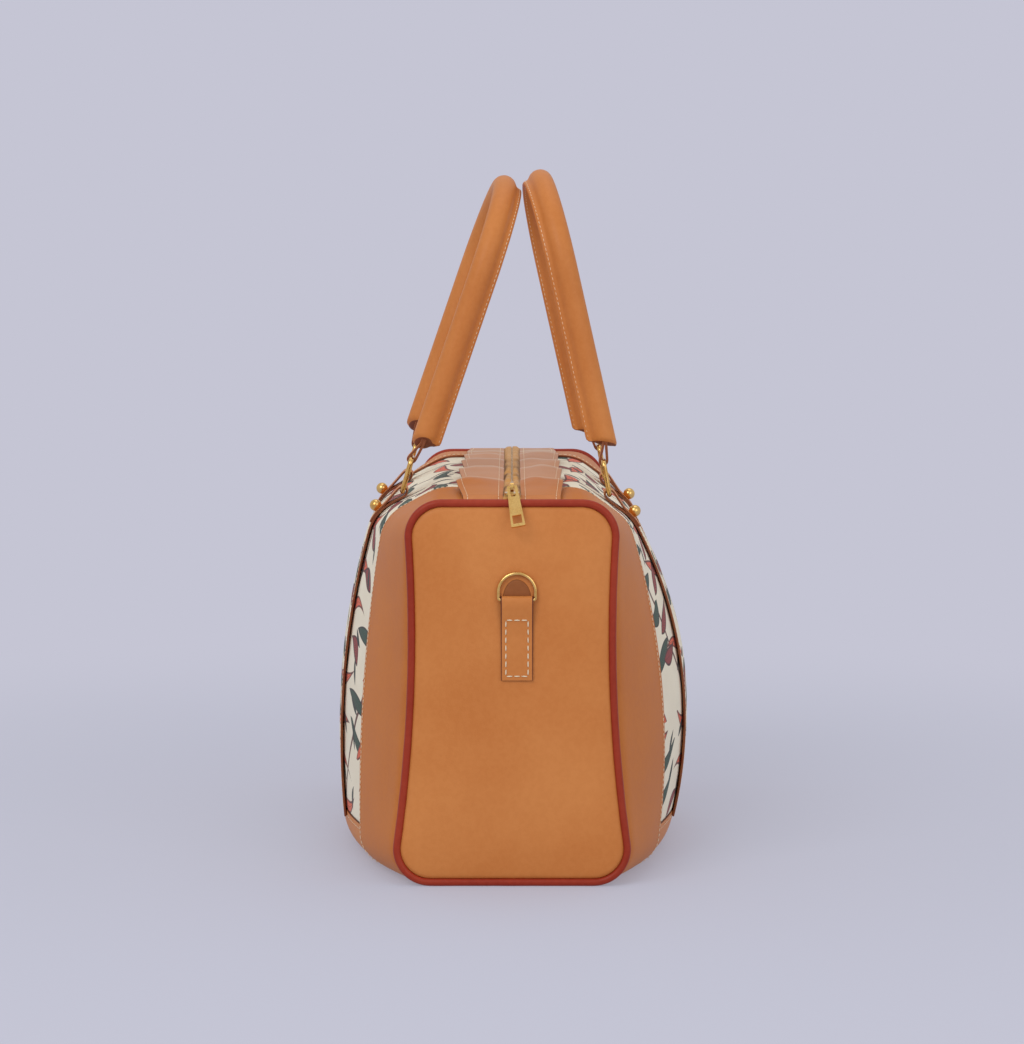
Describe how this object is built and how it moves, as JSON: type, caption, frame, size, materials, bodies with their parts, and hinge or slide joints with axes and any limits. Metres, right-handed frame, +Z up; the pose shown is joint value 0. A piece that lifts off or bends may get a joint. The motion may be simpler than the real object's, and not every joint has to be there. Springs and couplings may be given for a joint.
{
  "type": "carpet bag",
  "caption": "Travel bag of tan leather and printed cloth, with domed end panels, a zip top, tubular handles on brass rings and a D-ring tab at each end.",
  "frame": {"origin": "centre of the flat of the base, on the surface that the bag stands on", "axes": "+X along the bag towards the end where the zip closes, +Y across it towards the back, +Z up"},
  "size_m": [0.4548, 0.2578, 0.4918],
  "materials": {
    "tan_leather": "smooth tan leather with a fine grain",
    "rust_leather": "rust-red leather piping",
    "printed_cloth": "cream cloth printed with leaves and flowers",
    "lining_cloth": "plain brown lining cloth",
    "zip_cloth": "mustard woven tape",
    "brass": "polished gold-coloured brass",
    "board": "stiff board",
    "core": "soft core"
  },
  "bodies": {
    "bag": {"end_panel_right": "tan_leather", "end_panel_left": "tan_leather", "piping_right": "rust_leather", "piping_left": "rust_leather", "end_band_right": "tan_leather", "end_band_left": "tan_leather", "front_panel": "printed_cloth", "back_panel": "printed_cloth", "base_panel": "tan_leather", "base_board": "board", "lining": "lining_cloth", "zip_strip_front": "tan_leather", "zip_strip_back": "tan_leather", "zip_tape_front": "zip_cloth", "zip_tape_back": "zip_cloth", "zip_teeth_front": "brass", "zip_teeth_back": "brass", "zip_stop_right": "brass", "zip_stop_left": "brass", "strap_front_right": "tan_leather", "strap_front_left": "tan_leather", "strap_back_right": "tan_leather", "strap_back_left": "tan_leather", "stud_front_right": "brass", "stud_front_left": "brass", "stud_back_right": "brass", "stud_back_left": "brass", "d_tab_right": "tan_leather", "d_tab_left": "tan_leather"},
    "front_rings": {"ring_front_right": "brass", "ring_front_left": "brass"},
    "front_handle": {"handle_front": "tan_leather", "handle_core_front": "core", "handle_loop_front_right": "tan_leather", "handle_loop_front_left": "tan_leather"},
    "back_rings": {"ring_back_right": "brass", "ring_back_left": "brass"},
    "back_handle": {"handle_back": "tan_leather", "handle_core_back": "core", "handle_loop_back_right": "tan_leather", "handle_loop_back_left": "tan_leather"},
    "slider": {"zip_slider": "brass"},
    "puller": {"zip_puller": "brass"},
    "right_d_ring": {"d_ring_right": "brass"},
    "left_d_ring": {"d_ring_left": "brass"}
  },
  "joints": [
    {"name": "front_rings_swing", "type": "hinge", "parent": "bag", "child": "front_rings", "pos_m": [0, -0.0789, 0.26079], "axis": [1, 0, 0], "range_deg": [0, 95]},
    {"name": "front_handle_swing", "type": "hinge", "parent": "front_rings", "child": "front_handle", "pos_m": [0, -0.07239, 0.28409], "axis": [1, 0, 0], "range_deg": [0, 60]},
    {"name": "back_rings_swing", "type": "hinge", "parent": "bag", "child": "back_rings", "pos_m": [0, 0.07018, 0.25852], "axis": [-1, 0, 0], "range_deg": [0, 95]},
    {"name": "back_handle_swing", "type": "hinge", "parent": "back_rings", "child": "back_handle", "pos_m": [0, 0.06577, 0.28231], "axis": [-1, 0, 0], "range_deg": [0, 60]},
    {"name": "zip_slide", "type": "slide", "parent": "bag", "child": "slider", "axis": [-1, 0, 0], "range_m": [0, 0.385], "deforming": ["zip_teeth_front", "zip_teeth_back", "zip_tape_front", "zip_tape_back"]},
    {"name": "puller_swing", "type": "hinge", "parent": "slider", "child": "puller", "pos_m": [0.211, 0, 0.2762], "axis": [0, -1, 0], "range_deg": [0, 180]},
    {"name": "right_d_ring_swing", "type": "hinge", "parent": "bag", "child": "right_d_ring", "pos_m": [0.2218, 0.0034, 0.1999], "axis": [0, 1, 0], "range_deg": [0, 158]},
    {"name": "left_d_ring_swing", "type": "hinge", "parent": "bag", "child": "left_d_ring", "pos_m": [-0.2218, 0.0034, 0.1999], "axis": [0, -1, 0], "range_deg": [0, 158]}
  ]
}
